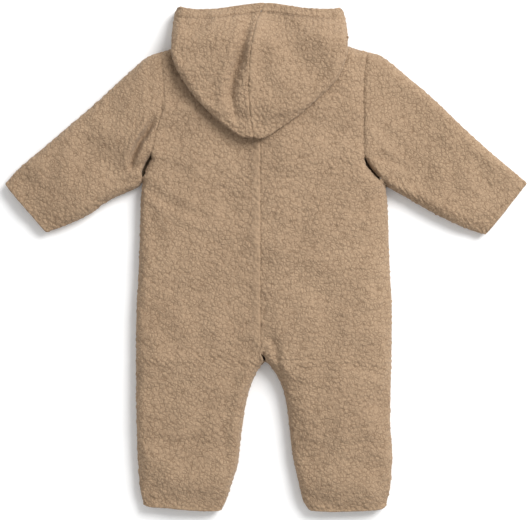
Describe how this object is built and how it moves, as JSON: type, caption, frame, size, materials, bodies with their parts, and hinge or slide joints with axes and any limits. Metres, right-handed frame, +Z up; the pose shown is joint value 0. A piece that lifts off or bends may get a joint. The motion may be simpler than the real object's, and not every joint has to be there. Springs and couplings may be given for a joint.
{
  "type": "baby's hooded fleece overall",
  "caption": "One-piece hooded wool-fleece overall for a baby, lying flat with its back up: open sleeves, legs and neck, a hood that turns up and a front zip",
  "frame": {"origin": "on the surface the garment lies on, under the middle of its bounding box", "axes": "+X is the wearer's right, +Y runs from the leg hems to the hood, +Z is up, from the front of the garment to its back"},
  "size_m": [0.6364, 0.617, 0.0463],
  "materials": {
    "fleece": "napped wool fleece with a fine pebbled surface",
    "tape": "woven tape",
    "label": "smooth satin, blank",
    "zip_metal": "aged satin"
  },
  "bodies": {
    "torso": {"back_left_panel": "fleece", "back_right_panel": "fleece", "front_left_panel": "fleece", "front_right_panel": "fleece", "hood_left_brim": "fleece", "hood_right_brim": "fleece", "hood_left_slack": "fleece", "hood_right_slack": "fleece", "neck_tape": "tape", "hanger_loop": "tape", "care_label": "label", "zip_tape_left": "tape", "zip_tape_right": "tape", "zip_teeth_left": "zip_metal", "zip_teeth_right": "zip_metal", "zip_top_stop_left": "zip_metal", "zip_top_stop_right": "zip_metal", "zip_bottom_stop": "zip_metal", "zip_guard": "tape", "chin_guard": "fleece"},
    "hood": {"hood_left_crown": "fleece", "hood_right_crown": "fleece"},
    "left_arm": {"left_sleeve": "fleece", "left_sleeve_facing": "fleece"},
    "left_leg": {"left_leg_back": "fleece", "left_leg_front": "fleece", "left_leg_facing": "fleece"},
    "right_arm": {"right_sleeve": "fleece", "right_sleeve_facing": "fleece"},
    "right_leg": {"right_leg_back": "fleece", "right_leg_front": "fleece", "right_leg_facing": "fleece"},
    "slider": {"zip_slider": "zip_metal"},
    "pull": {"zip_pull": "zip_metal"}
  },
  "joints": [
    {"name": "hood_turn", "type": "hinge", "parent": "torso", "child": "hood", "pos_m": [-0.008, 0.26665, 0.02815], "axis": [-1, 0, 0], "range_deg": [0, 85], "deforming": ["hood_left_slack", "hood_right_slack"]},
    {"name": "left_sleeve_swing", "type": "hinge", "parent": "torso", "child": "left_arm", "pos_m": [-0.1262, 0.251, 0.0115], "axis": [0, 0, -1], "range_deg": [0, 15]},
    {"name": "right_sleeve_swing", "type": "hinge", "parent": "torso", "child": "right_arm", "pos_m": [0.1262, 0.251, 0.0115], "axis": [0, 0, 1], "range_deg": [0, 15]},
    {"name": "left_leg_swing", "type": "hinge", "parent": "torso", "child": "left_leg", "pos_m": [-0.079, -0.0945, 0.014], "axis": [0, 0, -1], "range_deg": [-5, 8]},
    {"name": "right_leg_swing", "type": "hinge", "parent": "torso", "child": "right_leg", "pos_m": [0.079, -0.0945, 0.014], "axis": [0, 0, 1], "range_deg": [-5, 8]},
    {"name": "zip_run", "type": "slide", "parent": "torso", "child": "slider", "axis": [0, -1, 0], "range_m": [0, 0.295]},
    {"name": "pull_turn", "type": "hinge", "parent": "slider", "child": "pull", "pos_m": [0, 0.2267, 0.00125], "axis": [1, 0, 0], "range_deg": [0, 150]}
  ]
}
